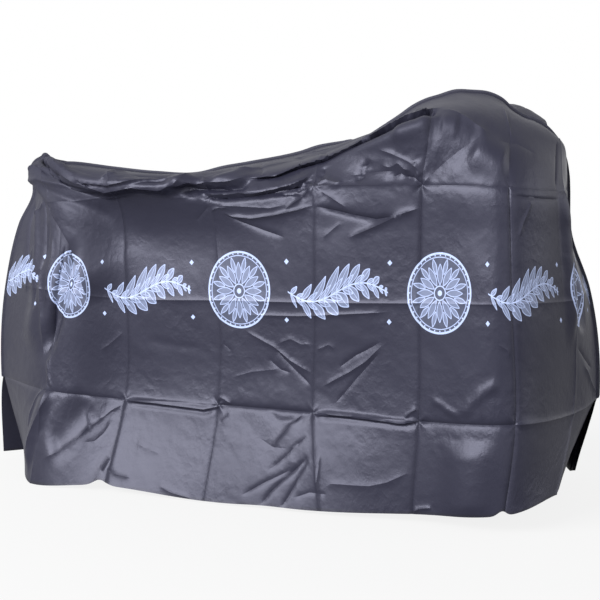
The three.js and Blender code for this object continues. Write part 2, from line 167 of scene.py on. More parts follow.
LEFT_FOLDS = [
    soft_fold((400, 690), (900, 680), reach=60, rise=-12),  # under the roll
    soft_fold((940, 735), (1330, 820), reach=42, rise=10, droop=4),  # tank sweep
    soft_fold((180, 720), (640, 330), reach=85, rise=18),  # tail pull
    soft_fold((420, 560), (250, 120), reach=55, rise=-18),  # rear valley
    soft_fold((1470, 905), (1760, 885), reach=75, rise=18),  # crown puff
    soft_fold((1420, 830), (1560, 330), reach=60, rise=12),  # bar fold
    soft_fold((1900, 720), (1860, 300), reach=55, rise=-24),  # front valley
    soft_fold((1180, -20), (1200, 170), reach=90, rise=12),  # front lobe
]

# Swing of the free lower corners of each panel at the vents: (forward, outward, up).
VENT_REACH = FOLD_PITCH
RIGHT_VENTS = dict(rear=(50, 28, 14), front=(-42, 12, 26))
LEFT_VENTS = dict(rear=(-64, 60, -2), front=(-22, 30, 22))

# Laps of the right panel: places where the film folds over itself. The fold's edge runs through
# the points of its line (along, height), with the upper layer on the line's left. The upper layer
# rises over width to rise at its edge and hangs over by lip. Its underside drops over under to dip
# below the cloth, which comes back up over hollow. Where swell is given, it scales all of these, from
# the line's first end to its last.
RIGHT_LAPS = [
    dict(width=46, rise=11, lip=4, under=42, dip=10, hollow=240,  # seat roll
         line=[(250, 1000), (310, 890), (350, 825), (410, 776), (460, 748), (505, 728), (545, 735),
               (590, 745), (670, 738), (715, 764), (745, 802), (775, 868)]),
    dict(width=52, rise=9, lip=4, under=32, dip=14, hollow=46,  # pocket
         line=[(690, 748), (745, 772), (790, 768), (840, 762), (905, 757)]),
    dict(width=38, rise=5, lip=40, under=12, dip=22, hollow=32, swell=(0.6, 1.3),  # main slot
         line=[(880, 752), (955, 768), (1000, 788), (1060, 802), (1130, 822), (1200, 848), (1245, 868),
               (1290, 884), (1325, 887), (1355, 880)]),
    dict(width=34, rise=7, lip=4, under=8, dip=9, hollow=26,  # second slot
         line=[(760, 716), (845, 708), (925, 706), (985, 712), (1020, 724), (1050, 742)]),
    dict(width=34, rise=2, lip=1, under=6, dip=5, hollow=26,  # strip slot
         line=[(415, 786), (450, 766), (515, 751), (560, 760), (645, 784), (690, 786), (720, 770)]),
    dict(width=50, rise=5, lip=0, under=16, dip=10, hollow=50,  # tip edge
         line=[(255, 985), (262, 955), (300, 905), (345, 845), (400, 800)]),
    dict(width=300, rise=18, lip=5, under=10, dip=6, hollow=60,  # pull edge
         line=[(60, 790), (168, 750), (242, 700), (289, 635), (334, 569), (369, 505), (400, 420)]),
    dict(width=11, rise=4, lip=1, under=5, dip=3, hollow=13,  # knee ledge
         line=[(522, 199), (595, 197), (680, 192), (750, 188), (800, 198)]),
    dict(width=11, rise=4, lip=1, under=5, dip=3, hollow=13,  # knee ledge front
         line=[(1048, 198), (1115, 199), (1190, 198), (1265, 194), (1318, 198)]),
    dict(width=42, rise=-4.5, lip=0, under=60, dip=0, hollow=20,  # shoulder valley
         line=[(1475, 812), (1400, 768), (1355, 738), (1318, 706)]),
]
LEFT_LAPS = [
    dict(width=34, rise=12, lip=4, under=55, dip=15, hollow=130,  # seat roll
         line=[(290, 890), (360, 800), (480, 745), (650, 735), (800, 765), (900, 830)]),
    dict(width=32, rise=11, lip=3, under=15, dip=12, hollow=32,  # main slot
         line=[(880, 752), (980, 778), (1100, 812), (1240, 848), (1340, 885)]),
    dict(width=26, rise=8, lip=2, under=8, dip=8, hollow=24,  # second slot
         line=[(820, 705), (940, 712), (1080, 745), (1180, 790)]),
    dict(width=90, rise=15, lip=4, under=9, dip=8, hollow=50,  # pull edge
         line=[(70, 705), (220, 650), (320, 560), (400, 450)]),
    dict(width=17, rise=7, lip=1, under=6, dip=4, hollow=18,  # knee ledge
         line=[(262, 198), (400, 194), (525, 198)]),
    dict(width=17, rise=7, lip=1, under=6, dip=4, hollow=18,  # knee ledge front
         line=[(790, 198), (920, 192), (1050, 198)]),
]

# Fine creases of the right panel. Each runs through its points (along, height). width is how
# fast it dies out to the sides, and rise its height (negative for a groove). A "crease" is sharp
# along its line, and a "ridge" is rounded.
RIGHT_CREASES = [
    crease(7, -5, (205, 640), (196, 560), (182, 470), (176, 380)),
    crease(7, 4, (232, 600), (236, 540), (228, 470), (226, 400)),
    crease(6, 3.5, (120, 560), (112, 500), (118, 430)),
    # tail
    ridge(9, 4, (40, 745), (225, 780), (325, 765), (400, 745), (480, 722)),
    ridge(9, 3.5, (60, 790), (200, 835), (280, 825), (355, 792)),
    ridge(20, -6, (215, 758), (305, 730), (375, 697), (445, 665), (515, 632)),
    ridge(15, 8, (80, 690), (120, 620), (142, 560), (156, 490), (162, 420)),
    crease(11, -7, (30, 680), (60, 600), (88, 520), (100, 450)),
    crease(9, -6, (150, 700), (176, 640), (186, 560), (194, 480)),
    crease(8, 4, (60, 655), (95, 640), (130, 664), (150, 690)),
    crease(8, 3.5, (235, 905), (300, 850), (360, 800), (420, 762), (495, 728)),
    crease(8, -4, (215, 850), (290, 800), (350, 770)),
    crease(5, 2.5, (500, 765), (520, 800), (560, 830)),
    crease(10, 4, (520, 800), (540, 840), (585, 868)),
    crease(10, -4, (600, 812), (660, 806), (720, 800), (745, 812)),
    crease(11, 4.5, (790, 800), (850, 806), (905, 798), (960, 806), (1010, 822)),
    crease(8, -3.5, (1000, 815), (1012, 850), (1006, 890)),
    crease(11, 4.5, (292, 915), (330, 862), (378, 812), (430, 784)),
    crease(9, -11, (290, 580), (276, 535), (265, 465), (255, 400), (246, 335), (238, 282)),
    ridge(9, 4, (290, 470), (275, 425), (262, 345), (250, 285)),
    crease(4.5, 3.5, (200, 520), (207, 420), (220, 305), (230, 272)),
    crease(4.5, 3, (250, 277), (262, 240), (282, 203)),
    crease(5, 4, (258, 208), (218, 172), (198, 140), (190, 90)),
    crease(7, 4, (285, 205), (250, 132), (215, 60)),
    # under the roll and over the middle
    crease(5, -3.5, (932, 925), (918, 790), (926, 752)),
    ridge(14, 6, (800, 775), (865, 792), (910, 825)),
    crease(4.5, -2.5, (1045, 850), (1062, 838), (1060, 800)),
    crease(5, 2.5, (1030, 960), (1050, 900), (1090, 880)),
    crease(10.5, 3.2, (795, 676), (860, 668), (940, 655), (985, 660)),
    crease(4, 2, (785, 658), (802, 667), (835, 667)),
    crease(5, 5, (812, 658), (838, 643), (890, 634), (945, 637), (1010, 645), (1052, 656)),
    crease(4.5, -2.98, (815, 650), (860, 626), (920, 602), (975, 583)),
    crease(4.5, 4, (975, 648), (1012, 668), (1040, 690), (1055, 708)),
    crease(4, 1.75, (1062, 690), (1092, 671), (1130, 648)),
    crease(4.5, -3.5, (965, 690), (1000, 684), (1030, 672)),
    crease(4.5, 3.5, (1012, 690), (1025, 712), (1045, 730)),
    crease(5, -6, (1048, 652), (1090, 644), (1150, 632), (1200, 625), (1262, 636)),
    crease(6, 5, (1130, 582), (1170, 597), (1215, 616), (1262, 637), (1312, 652)),
    ridge(15, 9, (1050, 776), (1095, 788), (1190, 793), (1285, 812), (1345, 850)),
    crease(4.5, 2.45, (1190, 778), (1222, 766), (1272, 746), (1298, 733), (1308, 718)),
    crease(4, -2, (1135, 724), (1180, 731), (1240, 729)),
    crease(4.5, -3.5, (1262, 718), (1290, 716), (1306, 706), (1322, 698)),
    crease(4.5, 1.5, (1070, 582), (1118, 618)),
    crease(7, -1.5, (735, 630), (785, 675)),
    # gathers at the upper fold crossings
    crease(8, 6, (985, 704), (1004, 716), (1028, 709), (1046, 699)),
    crease(7, -5, (1006, 690), (1022, 699), (1038, 690)),
    crease(8, 5, (1056, 708), (1078, 716), (1104, 706), (1120, 709)),
    crease(8, -4, (1060, 722), (1070, 740), (1066, 756)),
    crease(8, -6, (1150, 706), (1166, 722), (1160, 741), (1180, 756)),
    crease(8, 3.5, (1200, 745), (1226, 737), (1246, 745), (1262, 733), (1284, 728)),
    crease(8, -3.5, (1232, 716), (1254, 724), (1276, 714), (1298, 708)),
    crease(8, 3, (1286, 748), (1296, 728), (1306, 714)),
    # shoulder and dome
    crease(8, 3.5, (1345, 868), (1400, 846), (1440, 829), (1490, 808)),
    crease(7, -2, (1525, 798), (1600, 795), (1690, 774)),
    crease(4.5, 3, (1563, 935), (1566, 860), (1582, 806)),
    crease(6, -3.5, (1812, 835), (1800, 770), (1790, 700)),
    crease(4.5, 2.5, (1664, 680), (1642, 648), (1620, 622), (1604, 590)),
    crease(4, -2.5, (1572, 682), (1645, 680), (1720, 680), (1815, 682)),
    # waist
    crease(4.5, 2.5, (850, 418), (1010, 420), (1130, 426), (1250, 432)),
    crease(4.5, 2.45, (850, 384), (915, 356), (940, 346), (985, 316), (1050, 286)),
    crease(4, -2.45, (938, 346), (965, 320), (990, 300), (1045, 258)),
    crease(4, -1.75, (920, 318), (958, 292), (990, 284)),
    crease(5, 1, (812, 262), (875, 281), (980, 297)),
    crease(4.5, -2.45, (1218, 368), (1180, 347), (1155, 335), (1110, 302)),
    crease(4.5, 2.8, (1222, 362), (1180, 322), (1140, 296), (1070, 257)),
    crease(4.5, -1.75, (1216, 346), (1160, 286), (1130, 250), (1100, 218)),
    crease(4.5, 1.5, (942, 350), (985, 367), (1015, 355), (1048, 357)),
    crease(4.5, 1.5, (1055, 343), (1088, 357), (1105, 345)),
    ridge(12, -1.05, (580, 352), (660, 340), (740, 328)),
    crease(4, -1.25, (792, 348), (818, 328)),
    crease(5, 1, (430, 312), (470, 337), (510, 368)),
    # knee
    ridge(8, 2.25, (1340, 248), (1366, 241), (1392, 226), (1424, 214)),
    ridge(12, 3.15, (1418, 212), (1445, 240), (1470, 264), (1530, 292)),
    crease(6, 1.5, (1470, 266), (1478, 205)),
    crease(5, 1.2, (1525, 368), (1556, 354), (1556, 335)),
    crease(5, -3.5, (1845, 352), (1930, 312), (2020, 278)),
    crease(7, 4, (1905, 304), (1985, 256), (2098, 202)),
    # band under the knee
    crease(7.5, 3, (418, 194), (414, 160), (430, 130), (404, 104), (350, 72), (295, 54)),
    crease(4.5, 2.2, (524, 190), (485, 170), (452, 143), (428, 128), (400, 106)),
    crease(4, -1.5, (495, 150), (478, 118), (458, 100), (420, 94)),
    crease(4, -1.25, (500, 176), (470, 158), (445, 146)),
    crease(4.5, 3.5, (518, 60), (505, 22)),
    crease(6, 2.1, (515, 33), (548, 27), (592, 24)),
    crease(6, 2, (670, 18), (705, 7), (760, 2)),
    crease(5, 1.05, (580, 102), (615, 91), (655, 84)),
    crease(4, 2.1, (788, 218), (804, 212), (824, 203)),
    crease(4, 1.51, (824, 188), (800, 163)),
    crease(5, 2.8, (1024, 198), (985, 165), (955, 135), (940, 112)),
    crease(4, -2.3, (1034, 150), (1000, 125), (970, 100), (930, 70)),
    crease(4.5, -3.46, (1038, 110), (1005, 85), (965, 54), (940, 30), (912, -8)),
    crease(4.5, -2.88, (1038, 110), (1010, 70), (990, 40), (958, -8)),
    crease(4.5, -2.3, (995, 82), (930, 50), (872, 16)),
    crease(6, -0.9, (905, 138), (945, 120), (985, 120)),
    ridge(10, -2.5, (915, 196), (962, 174), (1005, 178), (1040, 192)),
    crease(4, 1.76, (1066, 118), (1060, 88), (1050, 55), (1052, 20)),
    crease(6, -1.73, (990, 22), (1030, 36), (1075, 34)),
    crease(10, 2.16, (1060, 42), (1085, 56), (1190, 56), (1240, 66), (1290, 86), (1312, 82)),
    crease(4, 3.5, (1278, 203), (1290, 216), (1310, 227)),
    crease(4, -3, (1280, 192), (1308, 196)),
    crease(4.5, 3.5, (1312, 4), (1335, 12), (1368, 16)),
    ridge(12, 1, (1365, 168), (1410, 146), (1465, 164)),
]
LEFT_CREASES = [
    ridge(9, 4, (40, 745), (200, 785), (330, 765), (450, 725)),
    ridge(18, -5, (200, 745), (320, 700), (430, 640)),
    crease(11, -9, (330, 560), (300, 430), (290, 300)),
    ridge(12, 5, (90, 600), (140, 520), (160, 400)),
    ridge(13, 6, (800, 780), (900, 810), (960, 850)),
    ridge(15, 8, (980, 752), (1110, 785), (1240, 820), (1340, 858)),
    crease(7, 5, (760, 660), (900, 632), (1050, 655)),
    crease(7, -6, (1050, 652), (1180, 622), (1300, 640)),
    crease(6, 4, (1245, 650), (1285, 680), (1310, 705)),
    crease(6, 4, (1315, 700), (1370, 668), (1400, 640)),
    ridge(17, 7, (1312, 702), (1390, 760), (1480, 800)),
    crease(11, 4, (1400, 860), (1500, 820), (1570, 800)),
    crease(6, 4, (600, 384), (690, 350), (780, 280)),
    crease(6, -4, (970, 372), (900, 320), (810, 250)),
    crease(6, 4, (1380, 390), (1450, 330), (1560, 280)),
    crease(7, 3, (1180, 240), (1260, 320), (1320, 350)),
    crease(9, 4, (1650, 660), (1700, 560), (1790, 420)),
    crease(8, -4, (1850, 340), (1940, 290), (2060, 230)),
    crease(7, -5, (785, 190), (720, 110), (640, 10)),
    crease(6, 4, (785, 150), (760, 80), (730, 0)),
    crease(6, -5, (1315, 185), (1370, 110), (1440, 20)),
    crease(6, 4, (1310, 120), (1340, 60), (1350, 0)),
    crease(9, 4, (380, 90), (450, 40), (540, 20)),
]

# Upright packing folds: how far the film stands out along each, in the fields below the knee,
# up to the waist, up to the chest and above it.
RIGHT_UPRIGHTS = [
    (1, 2.0, 2.5, -2.0, 1.5), (2, 3.5, 2.6, 3.2, 1.5), (3, -2.6, 3.0, 2.2, 2.0),
    (4, 3.0, 3.0, 3.2, 2.0), (5, -3.8, -3.6, -4.5, -1.8), (6, -4.0, -4.0, -4.0, -1.6),
    (7, 2.0, 2.6, 2.6, 1.5),
]
# Level packing folds: the same in each of the eight fields along the panel.
RIGHT_LEVELS = [
    (KNEE_HEIGHT, -3.5, -3.5, 2.0, -5.5, 2.0, -5.0, 4.5, 2.5),
    (WAIST_HEIGHT, 1.0, 1.5, 2.6, 3.0, 3.0, 1.8, 1.5, 1.0),
    (CHEST_HEIGHT, 0.0, 1.5, 1.0, 2.2, 4.0, -2.2, -1.8, -1.2),
]
LEFT_UPRIGHTS = [(fold, -a, b, -c, d) for fold, a, b, c, d in RIGHT_UPRIGHTS]
LEFT_LEVELS = [
    (KNEE_HEIGHT, 2.5, 2.0, -5.0, 2.0, -5.0, 4.5, -4.0, 2.0),
    (WAIST_HEIGHT, 1.0, 2.5, 1.5, 3.0, 2.0, 3.0, 1.5, 1.0),
    (CHEST_HEIGHT, 0.0, 2.0, -2.0, 4.0, -4.0, 3.0, -3.0, 1.0),
]

# Small puckers where packing folds cross: (fold, height, reach, rise, rays, turn).
RIGHT_STARS = [
    (4, 700, 9, 1.6, 7, 0.2), (3, 700, 8, 1.2, 5, 0.9), (5, 700, 8, 1.4, 5, 0.4),
    (3, 200, 8, 1.6, 5, 0.7), (4, 200, 7, 1.2, 5, 0.3), (5, 200, 8, 1.4, 5, 0.5),
    (2, 200, 7, 1.2, 5, 0.2), (6, 200, 8, 1.4, 5, 0.1), (6, 700, 7, 1.0, 5, 0.7),
    (4, 450, 7, 0.8, 5, 0.6), (5, 450, 7, 0.8, 6, 0.8),
]
LEFT_STARS = [(fold, height, reach, rise, rays, turn + 0.5)
              for fold, height, reach, rise, rays, turn in RIGHT_STARS]

# Fullness of the band below the knee: how far it bellies out at each upright fold.
BAND_FULLNESS = [0, 2, 0, 0, 4, 3, 2, 2, 0]
# Places where the hem is drawn up: (along, reach, lift).
RIGHT_HEM_LIFTS = [(505, 26, 13), (1565, 20, 10), (925, 60, 3)]
LEFT_HEM_LIFTS = [(640, 30, 9), (1330, 26, 10)]


# ---- Curves ----

def smooth(share):
    """Eases from 0 to 1, and holds outside them."""
    held = np.clip(share, 0, 1)
    return held * held * (3 - 2 * held)


def line_ends(share, fade):
    """0 at both ends of a line, and 1 between them."""
    return smooth(share / fade) * smooth((1 - share) / fade)


def spot(off_x, off_y, reach_x, reach_y):
    """A soft spot, 1 at its middle."""
    return np.exp(-(off_x / reach_x) ** 2 - (off_y / reach_y) ** 2)


def unit(vectors):
    return vectors / np.linalg.norm(vectors, axis=-1, keepdims=True)


def cut_height(along):
    """Height of the flat cut over its lower edge."""
    from_end = np.clip(np.minimum(along, PANEL_LENGTH - along), 0, CORNER_RADIUS)
    return PANEL_HEIGHT - CORNER_RADIUS + np.sqrt(CORNER_RADIUS**2 - (CORNER_RADIUS - from_end) ** 2)


def curve_through(knots, values, place):
    """Smooth curve through lists of knots and values, read at an array of places. Knots and
    values are numbers, or arrays of the places' shape."""
    knots = [np.broadcast_to(np.asarray(k, float), place.shape) for k in knots]
    values = [np.broadcast_to(np.asarray(v, float), place.shape) for v in values]
    steps = [b - a for a, b in zip(knots, knots[1:])]
    rises = [(b - a) / step for a, b, step in zip(values, values[1:], steps)]
    slopes = [rises[0]]
    for i in range(1, len(steps)):
        slopes.append((rises[i - 1] * steps[i] + rises[i] * steps[i - 1]) / (steps[i - 1] + steps[i]))
    slopes.append(rises[-1])
    result = np.zeros(place.shape)
    for i, step in enumerate(steps):
        inside = (place >= knots[i]) | (i == 0)
        u = (place - knots[i]) / step
        piece = (values[i] * (2 * u**3 - 3 * u**2 + 1) + values[i + 1] * (3 * u**2 - 2 * u**3)
                 + step * (slopes[i] * (u**3 - 2 * u**2 + u) + slopes[i + 1] * (u**3 - u**2)))
        result = np.where(inside, piece, result)
    return result


def read_curve(knots, values, place):
    """The same for plain numbers, read through a fine list of places."""
    fine = np.linspace(knots[0], knots[-1], 4001)
    return np.interp(place, fine, curve_through(knots, values, fine))


# ---- Drape ----

BROW_BELOW_WELD = 15  # the least cloth between a section's brow and the weld
VENT_EASE = 0.7  # power by which a free corner's swing dies out up to the vent's top
SOFT_FOLD_ENDS = 0.25  # share of a soft fold's length over which it comes to its full height
LINE_ENDS = 0.2  # the same for a fine crease
LAP_ENDS = 0.16  # the same for a lap
UNDERSIDE_EASE = 1.4  # power by which the underside of a lap falls away


def draped_surface(panel, along, height):
    """The panel without its folds: an array of (forward, outward, up) over the net."""
    sections = panel["sections"]
    folds = [row["fold"] for row in sections]
    fold = along / FOLD_PITCH
    top = cut_height(along)
    brow = read_curve(folds, [row["brow_at"] for row in sections], fold)
    brow = np.minimum(brow, top - BROW_BELOW_WELD)
    knots = [0, KNEE_HEIGHT, WAIST_HEIGHT, BELLY_HEIGHT, CHEST_HEIGHT, brow, top]
    weld_folds = [point[0] for point in WELD_LINE]
    weld = [read_curve(weld_folds, [p[1] for p in WELD_LINE], fold), np.zeros_like(fold),
            read_curve(weld_folds, [p[2] for p in WELD_LINE], fold)]
    surface = []
    for axis in range(3):
        levels = [read_curve(folds, [row[level][axis] for row in sections], fold)
                  for level in ("hem", "knee", "waist", "belly", "chest", "brow")]
        surface.append(curve_through(knots, [*levels, weld[axis]], height))
    surface = np.stack(surface, -1)
    down = np.clip(1 - height / WELD_TOP_OF_VENT, 0, 1) ** VENT_EASE
    rear = down * np.clip(1 - along / VENT_REACH, 0, 1)
    front = down * np.clip(1 - (PANEL_LENGTH - along) / VENT_REACH, 0, 1)
    swing = rear[..., None] * np.array(panel["vents"]["rear"])
    return surface + swing + front[..., None] * np.array(panel["vents"]["front"])


def directions(surface):
    """Unit vectors of a net: outward from its face, and up it."""
    up = unit(np.gradient(surface, axis=1))
    return unit(-np.cross(unit(np.gradient(surface, axis=0)), up)), up


def fold_share(fold, along, height):
    """How much each place on the cloth belongs to a soft fold (0 to 1)."""
    (x0, y0), (x1, y1) = fold["start"], fold["end"]
    run = (x1 - x0, y1 - y0)
    length = math.hypot(*run)
    offset = (along - x0, height - y0)
    down = (offset[0] * run[0] + offset[1] * run[1]) / length**2
    across = np.abs(offset[0] * run[1] - offset[1] * run[0]) / length
    reach = fold["reach"]
    crest = np.where(across < reach, 0.5 + 0.5 * np.cos(np.pi * across / reach), 0)
    return line_ends(down, SOFT_FOLD_ENDS) * crest


def near_line(line, along, height):
    """For each place: distance to a line of points, positive on its left, the share of the line's
    length at which it comes nearest, the line's direction there, and the way to that point."""
    line = np.array(line, float)
    runs = np.diff(line, axis=0)
    lengths = np.linalg.norm(runs, axis=1)
    starts = np.concatenate([[0], np.cumsum(lengths)])
    best = np.full(along.shape, 1e9)
    signed, share = np.zeros(along.shape), np.zeros(along.shape)
    turn, toward = np.zeros(along.shape + (2,)), np.zeros(along.shape + (2,))
    for (x0, y0), run, length, start in zip(line, runs, lengths, starts):
        dx, dy = along - x0, height - y0
        down = np.clip((dx * run[0] + dy * run[1]) / length**2, 0, 1)
        way = np.stack([down * run[0] - dx, down * run[1] - dy], -1)
        away = np.linalg.norm(way, axis=-1)
        side = np.where(run[0] * dy - run[1] * dx >= 0, 1, -1)
        nearer = away < best
        best = np.where(nearer, away, best)
        signed = np.where(nearer, side * away, signed)
        share = np.where(nearer, (start + down * length) / starts[-1], share)
        turn = np.where(nearer[..., None], run / length, turn)
        toward = np.where(nearer[..., None], way, toward)
    return signed, share, turn, toward


def crease_height(row, along, height):
    signed, share, _, _ = near_line(row["line"], along, height)
    away = np.abs(signed) / row["width"]
    profile = np.exp(-away) if row["kind"] == "crease" else np.exp(-away**2)
    return row["rise"] * line_ends(share, LINE_ENDS) * profile


def lapped(surface, lap, along, height, held):
    """The surface with one lap put into it."""
    signed, share, turn, _ = near_line(lap["line"], along, height)
    first, last = lap.get("swell", (1, 1))
    scale = first + (last - first) * share
    signed = signed / scale
    rise, dip, under, hollow = lap["rise"], lap["dip"], lap["under"], lap["hollow"]
    upper = np.where(signed > 0, 1 - smooth(signed / lap["width"]), 1)
    below = np.clip(-signed / under, 0, 1)
    sunk = np.where(-signed > under, 1 - smooth(-signed / hollow - under / hollow), 1)
    underside = (rise + dip) * (1 - below) ** UNDERSIDE_EASE - dip * sunk
    profile = np.where(signed > 0, rise * upper, underside)
    fade = (scale * line_ends(share, LAP_ENDS) * held)[..., None]
    out, up = directions(surface)
    ahead = np.cross(out, up)
    over = turn[..., 1:] * ahead - turn[..., :1] * up  # towards the line's right, on the cloth
    hang = lap["lip"] * np.where(signed > 0, upper, 1 - below)
    return surface + fade * (profile[..., None] * out + hang[..., None] * over)


# ---- Packing folds ----

# A packing fold is a sharp line on a broader rise: (share, millimetres to die out) of each.
PACKING_PROFILE = [(0.68, 5), (0.32, 24)]
FIELD_BLEND = 18  # half the length over which a fold changes between fields
STAR_SHARE = 0.8


def packing_profile(away):
    return sum(share * np.exp(-away / reach) for share, reach in PACKING_PROFILE)


def in_fields(rises, edges, place):
    """A value per field between edges, with a short change from one field to the next."""
    value = np.full(place.shape, float(rises[0]))
    for before, after, edge in zip(rises, rises[1:], edges):
        value = value + (after - before) * smooth((place - edge) / (2 * FIELD_BLEND) + 0.5)
    return value


def packing_height(panel, along, height):
    """How far the packing folds and the puckers at their crossings stand out."""
    levels = (KNEE_HEIGHT, WAIST_HEIGHT, CHEST_HEIGHT)
    total = np.zeros(along.shape)
    for fold, *rises in panel["uprights"]:
        away = np.abs(along - fold * FOLD_PITCH)
        total += in_fields(rises, levels, height) * packing_profile(away)
    uprights = [k * FOLD_PITCH for k in range(1, 8)]
    for level, *rises in panel["levels"]:
        away = np.abs(height - level)
        total += in_fields(rises, uprights, along) * packing_profile(away)
    for fold, level, reach, rise, rays, turn in panel["stars"]:
        dx, dy = along - fold * FOLD_PITCH, height - level
        away = np.hypot(dx, dy) / reach
        angle = np.arctan2(dy, dx) * rays / (2 * np.pi) + turn
        wave = 4 * np.abs(angle - np.floor(angle) - 0.5) - 1
        total += rise * wave * away * np.exp(1 - away) * STAR_SHARE
    return total


# ---- Unevenness ----

NOISE_GAIN = 1.6  # brings the noise to about unit height
FACET_ROWS = 1.2  # rows of facets in a facet's width
FACET_STRAY = 0.4  # how far the facets' corners wander, in facets
FACET_STRAY_SIZE = 2.1  # how broad that wandering is, in facets


def noise_field(seed, along, height, size):
    """Smooth gradient noise of about unit height, whose bumps are about size across."""
    rng = np.random.default_rng(seed)
    columns, rows = int(PANEL_LENGTH / size) + 4, int(PANEL_HEIGHT / size) + 4
    angles = rng.uniform(0, 2 * np.pi, (columns, rows))
    x, y = along / size + 1, height / size + 1
    i, j = np.floor(x).astype(int), np.floor(y).astype(int)
    u, v = x - i, y - j
    fade_u, fade_v = u**3 * (u * (6 * u - 15) + 10), v**3 * (v * (6 * v - 15) + 10)

    def corner(di, dj):
        angle = angles[i + di, j + dj]
        return np.cos(angle) * (u - di) + np.sin(angle) * (v - dj)

    low = corner(0, 0) * (1 - fade_u) + corner(1, 0) * fade_u
    high = corner(0, 1) * (1 - fade_u) + corner(1, 1) * fade_u
    return NOISE_GAIN * (low * (1 - fade_v) + high * fade_v)


def facet_field(seed, along, height, size):
    """A crumpled field of flat facets of about size across, which meet in sharp lines."""
    rng = np.random.default_rng(seed)
    columns = int((PANEL_LENGTH + PANEL_HEIGHT) / size) + 6
    rows = int(FACET_ROWS * PANEL_HEIGHT / size) + 6
    rises = rng.uniform(-1, 1, (columns, rows))
    stray_size = FACET_STRAY_SIZE * size
    y = FACET_ROWS * height / size + 2 + FACET_STRAY * noise_field(seed + 1, along, height, stray_size)
    x = along / size + 2 + 0.5 * y + FACET_STRAY * noise_field(seed + 2, along, height, stray_size)
    i, j = np.floor(x).astype(int), np.floor(y).astype(int)
    u, v = x - i, y - j
    low, high = rises[i + 1, j], rises[i, j + 1]
    near, far = rises[i, j], rises[i + 1, j + 1]
    first = near + u * (low - near) + v * (high - near)
    second = far + (1 - u) * (high - far) + (1 - v) * (low - far)
    return np.where(u + v < 1, first, second)


# Places where the film is crumpled: (along, height, reach along, reach up, depth).
RIGHT_CRUMPLES = [
    (1040, 695, 110, 55, 4.6), (1270, 735, 95, 55, 4.2), (850, 740, 130, 70, 2.6),
    (520, 760, 260, 50, 2.0), (1180, 860, 170, 60, 2.4), (1400, 780, 140, 90, 1.8),
    (260, 640, 130, 130, 2.2), (200, 180, 110, 130, 2.2), (1550, 900, 160, 90, 1.6),
    (1050, 250, 260, 90, 1.4), (520, 120, 200, 90, 1.6), (1000, 90, 260, 80, 1.3),
    (1950, 500, 120, 260, 2.0), (1450, 450, 300, 200, 0.9), (700, 450, 420, 200, 0.9),
]
LEFT_CRUMPLES = [
    (1000, 720, 160, 70, 3.0), (560, 760, 260, 50, 2.2), (1200, 850, 170, 60, 2.4),
    (260, 600, 150, 160, 2.2), (1500, 850, 160, 110, 2.0), (900, 230, 300, 90, 1.6),
    (1850, 500, 150, 240, 2.0), (1200, 450, 700, 250, 1.0), (600, 110, 300, 90, 1.6),
]

SWELL_SIZE = 260
SWELL_RISE = 1.8
FACETS = [(3, 115, 0.8), (6, 47, 0.3)]  # (seed step, size, rise)
FINE_FOLDS = [(64, 1.0), (34, 0.55), (19, 0.3)]  # (size, share)
FINE_BEND_SIZE = 90
FINE_BEND = 22  # how far the fine folds wander
FINE_CREST = 0.45  # height of their crests over the level cloth
FINE_DEPTH = 0.1  # their depth outside the crumpled places
FINE_SHARE = 0.5


def unevenness(panel, along, height):
    """A broad swell, flat facets, and fine folds that grow deep where the film is crumpled."""
    seed = panel["seed"]
    total = SWELL_RISE * noise_field(seed, along, height, SWELL_SIZE)
    for step, size, rise in FACETS:
        total += rise * facet_field(seed + step, along, height, size)
    fine = np.zeros(along.shape)
    for step, (size, share) in enumerate(FINE_FOLDS):
        bend = FINE_BEND * noise_field(seed + 20 + step, along, height, FINE_BEND_SIZE)
        folded = noise_field(seed + 10 + step, along + bend, height - bend, size)
        fine += share * (FINE_CREST - np.abs(folded))
    depth = np.full(along.shape, FINE_DEPTH)
    for x, y, reach_x, reach_y, rise in panel["crumples"]:
        depth += rise * spot(along - x, height - y, reach_x, reach_y)
    return total + FINE_SHARE * depth * fine


# ---- Net ----

def crowded(cells):
    """Places from 0 to 1, closer together at both ends."""
    u = np.linspace(0, 1, cells + 1)
    return u - CROWDING * np.sin(2 * np.pi * u) / (2 * np.pi)


def corner_columns(cells):
    """Places of the columns over a rounded corner, measured from that end of the panel."""
    turn = np.linspace(0, 1, cells + 1)
    turn = turn + CORNER_CROWDING * np.sin(np.pi * turn) / np.pi
    return FOLD_PITCH * (1 - np.cos(np.pi / 2 * turn))


def even_net():
    """The net on the flat cut: arrays of places along and heights, columns by rows."""
    columns = [corner_columns(FIELD_CELLS[0])]
    for field, cells in enumerate(FIELD_CELLS[1:-1], 1):
        columns.append(FOLD_PITCH * (field + crowded(cells)[1:]))
    columns.append((PANEL_LENGTH - corner_columns(FIELD_CELLS[-1])[::-1])[1:])
    along = np.concatenate(columns)
    rows = [np.zeros(1)]
    for low, high, cells in ROWS:
        rows.append(low + (high - low) * crowded(cells)[1:])
    low_rows = np.concatenate(rows)
    top = cut_height(along)
    up = crowded(TOP_ROWS)[1:]
    high_rows = CHEST_HEIGHT + (top[:, None] - CHEST_HEIGHT) * up[None, :]
    height = np.concatenate([np.broadcast_to(low_rows, (len(along), len(low_rows))), high_rows], 1)
    return np.broadcast_to(along[:, None], height.shape).copy(), height


